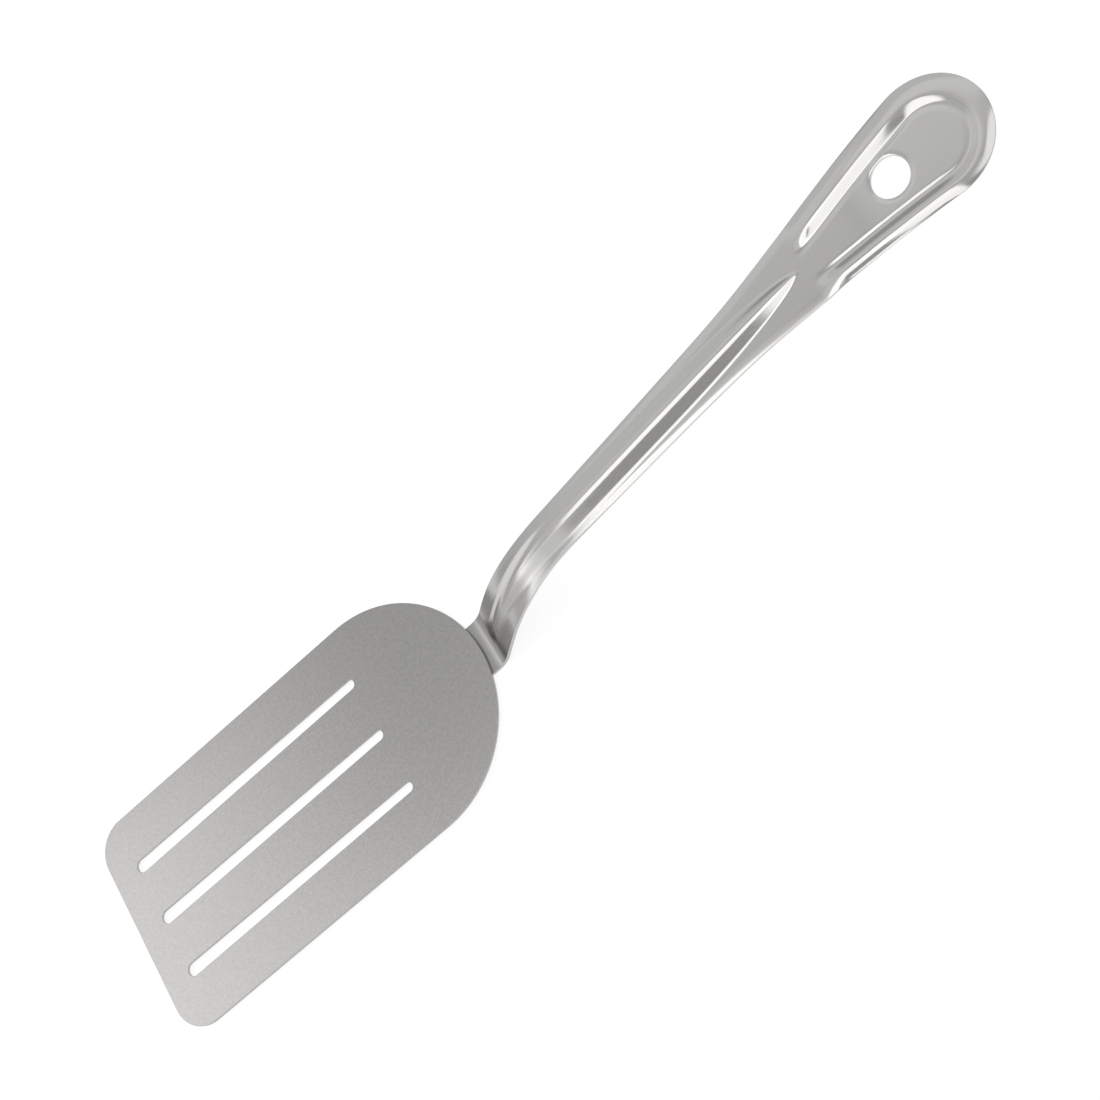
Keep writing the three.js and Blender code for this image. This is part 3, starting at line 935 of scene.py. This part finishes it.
# Softboxes: name, height over the floor, sides, widths over which each side fades in, and brightness.
# The sides are front, back, right and left, and a fade from the back or the left goes the other way.
SOFTBOXES = (
    ("front_softbox", 0.156, (-0.42, -0.13, -0.12, 0.175), (0.13, -0.16, 0.1, -0.04), 0.92),
    ("shaft_softbox", 0.7, (-0.485, -0.12, -0.06, 0.255), (0.04, -0.05, 0.03, -0.05), 0.92),
    ("loop_softbox", 1.0, (-0.31, 0.08, -0.45, 0.34), (0.04, -0.04, 0.04, -0.04), 0.92),
    ("right_softbox", 1.0, (-0.54, -0.26, -0.9, -0.4), (0.05, -0.05, 0.1, -0.03), 0.95),
    ("end_softbox", 1.0, (0.15, 0.6, -0.05, 0.42), (0.06, -0.08, 0.06, -0.06), 0.6),
    ("left_fill", 1.0, (-0.3, 0.6, 0.36, 0.9), (0.08, -0.08, 0.08, -0.08), 0.12),
    ("far_left_fill", 1.0, (-1.6, -0.2, 0.53, 1.3), (0.1, -0.1, 0.05, -0.1), 0.07),
)

# How a softbox fades in from each of its sides
SOFTBOX_RULE = (
    ("level", "LINEAR", "x", "front", "front full"),
    ("from back", "LINEAR", "x", "back", "back full"),
    ("level", "MULTIPLY", "level", "from back"),
    ("from right", "LINEAR", "y", "right", "right full"),
    ("level", "MULTIPLY", "level", "from right"),
    ("from left", "LINEAR", "y", "left", "left full"),
    ("level", "MULTIPLY", "level", "from left"),
)


def add_softbox(name, height, sides, fades, brightness):
    """Level rectangular lamp over the floor, in its middle as bright as a white face of that level."""
    front, back, right, left = sides
    lamp = bpy.data.lights.new(name, "AREA")
    lamp.shape = "RECTANGLE"
    lamp.size = back - front
    lamp.size_y = left - right
    lamp.energy = brightness * math.pi * lamp.size * lamp.size_y
    lamp.use_nodes = True
    tree = lamp.node_tree
    position = add_node(tree, "ShaderNodeNewGeometry").outputs["Position"]
    place = add_node(tree, "ShaderNodeSeparateXYZ", {0: position})
    known = {"x": place.outputs["X"], "y": place.outputs["Y"]}
    for side, start, fade in zip(("front", "back", "right", "left"), sides, fades):
        known[side] = start
        known[side + " full"] = start + fade
    work_out(tree, SOFTBOX_RULE, known)
    tree.links.new(known["level"], tree.nodes["Emission"].inputs["Strength"])
    softbox = bpy.data.objects.new(name, lamp)
    softbox.location = ((front + back) / 2, (right + left) / 2, height)
    softbox.visible_camera = False
    bpy.context.scene.collection.objects.link(softbox)


def add_floor(stage, colour):
    """Square of studio paper under the turner."""
    half = stage.floor_size / 2
    low = -stage.floor_gap
    corners = [(-half, -half, low), (half, -half, low), (half, half, low), (-half, half, low)]
    mesh = bpy.data.meshes.new("studio_floor")
    mesh.from_pydata(corners, [], [(0, 1, 2, 3)])
    mesh.materials.append(studio_paper(colour))
    new_piece("studio_floor", mesh)


# How bright the room is in each direction. Here x and y are the direction's parts to the back and left.
ROOM_RULE = (
    # Grey, lighter on the left and darker on the right and at the far left
    ("level", "SMOOTHSTEP", "y", 0.45, 0.56, 0.47, 0.62),
    ("shade", "SMOOTHSTEP", "y", -0.12, 0.02, 0.8, 1.0),
    ("level", "MULTIPLY", "level", "shade"),
    ("far left", "SMOOTHSTEP", "y", 0.89, 0.94, 0.0, 0.4),
    ("far side", "SMOOTHSTEP", "x", -0.31, -0.26),
    ("far left", "MULTIPLY", "far left", "far side"),
    ("far left", "SUBTRACT", 1.0, "far left"),
    ("level", "MULTIPLY", "level", "far left"),
    # Lighter again far on the right, and soft glows low in front, to the right and to the left
    ("far right", "SMOOTHSTEP", "y", -0.9, -0.45, 0.25, 0.0),
    ("level", "ADD", "level", "far right"),
    ("glow", "SMOOTHSTEP", "x", -0.595, -0.55, 0.4, 0.0),
    ("glow side", "SMOOTHSTEP", "y", 0.0, 0.22, 1.0, 0.0),
    ("glow", "MULTIPLY", "glow", "glow side"),
    ("level", "ADD", "level", "glow"),
    ("glow", "SMOOTHSTEP", "x", -0.46, -0.39, 0.2, 0.0),
    ("glow side", "SMOOTHSTEP", "y", 0.12, 0.26),
    ("glow", "MULTIPLY", "glow", "glow side"),
    ("glow side", "SMOOTHSTEP", "y", 0.42, 0.48, 1.0, 0.0),
    ("glow", "MULTIPLY", "glow", "glow side"),
    ("level", "ADD", "level", "glow"),
)


def light_studio():
    """Grey room whose brightness goes by direction."""
    world = bpy.data.worlds.new("grey studio")
    world.use_nodes = True
    tree = world.node_tree
    tree.nodes.clear()
    direction = add_node(tree, "ShaderNodeTexCoord").outputs["Generated"]
    place = add_node(tree, "ShaderNodeSeparateXYZ", {0: direction})
    known = {"x": place.outputs["X"], "y": place.outputs["Y"]}
    work_out(tree, ROOM_RULE, known)
    room = add_node(tree, "ShaderNodeBackground", {"Color": WHITE, "Strength": known["level"]})
    output = add_node(tree, "ShaderNodeOutputWorld")
    tree.links.new(room.outputs[0], output.inputs["Surface"])
    bpy.context.scene.world = world


class TURNER_OT_stage(bpy.types.Operator):
    """Set up the floor, the lights and the camera"""

    bl_idname = "turner.stage"
    bl_label = "Studio stage"

    def execute(self, context):
        stage = context.scene.turner_stage
        add_camera(stage)
        add_floor(stage, context.scene.turner_finish.sweep)
        for softbox in SOFTBOXES:
            add_softbox(*softbox)
        light_studio()
        context.scene.view_settings.view_transform = "Standard"
        return {"FINISHED"}


class TURNER_PT_sidebar(bpy.types.Panel):
    """The turner's pieces and sizes"""

    bl_idname = "TURNER_PT_sidebar"
    bl_label = "Slotted turner"
    bl_space_type = "VIEW_3D"
    bl_region_type = "UI"
    bl_category = "Turner"

    def draw(self, context):
        for operator in OPERATORS:
            self.layout.operator(operator.bl_idname)
        for label in SETTINGS:
            settings = getattr(context.scene, label)
            box = self.layout.box()
            for name in settings.bl_rna.properties.keys():
                if name not in ("rna_type", "name"):
                    box.prop(settings, name)


OPERATORS = (TURNER_OT_blade, TURNER_OT_handle, TURNER_OT_welds, TURNER_OT_stage)
SETTINGS = {
    "turner_blade": BladeSettings,
    "turner_handle": HandleSettings,
    "turner_finish": FinishSettings,
    "turner_stage": StageSettings,
}


def register():
    for kind in (*SETTINGS.values(), *OPERATORS, TURNER_PT_sidebar):
        bpy.utils.register_class(kind)
    for label, kind in SETTINGS.items():
        setattr(bpy.types.Scene, label, PointerProperty(type=kind))


def unregister():
    for label in SETTINGS:
        delattr(bpy.types.Scene, label)
    for kind in reversed((*SETTINGS.values(), *OPERATORS, TURNER_PT_sidebar)):
        bpy.utils.unregister_class(kind)


def main():
    register()
    bpy.ops.turner.blade()
    bpy.ops.turner.handle()
    bpy.ops.turner.welds()
    bpy.ops.turner.stage()


if __name__ == "__main__":
    main()
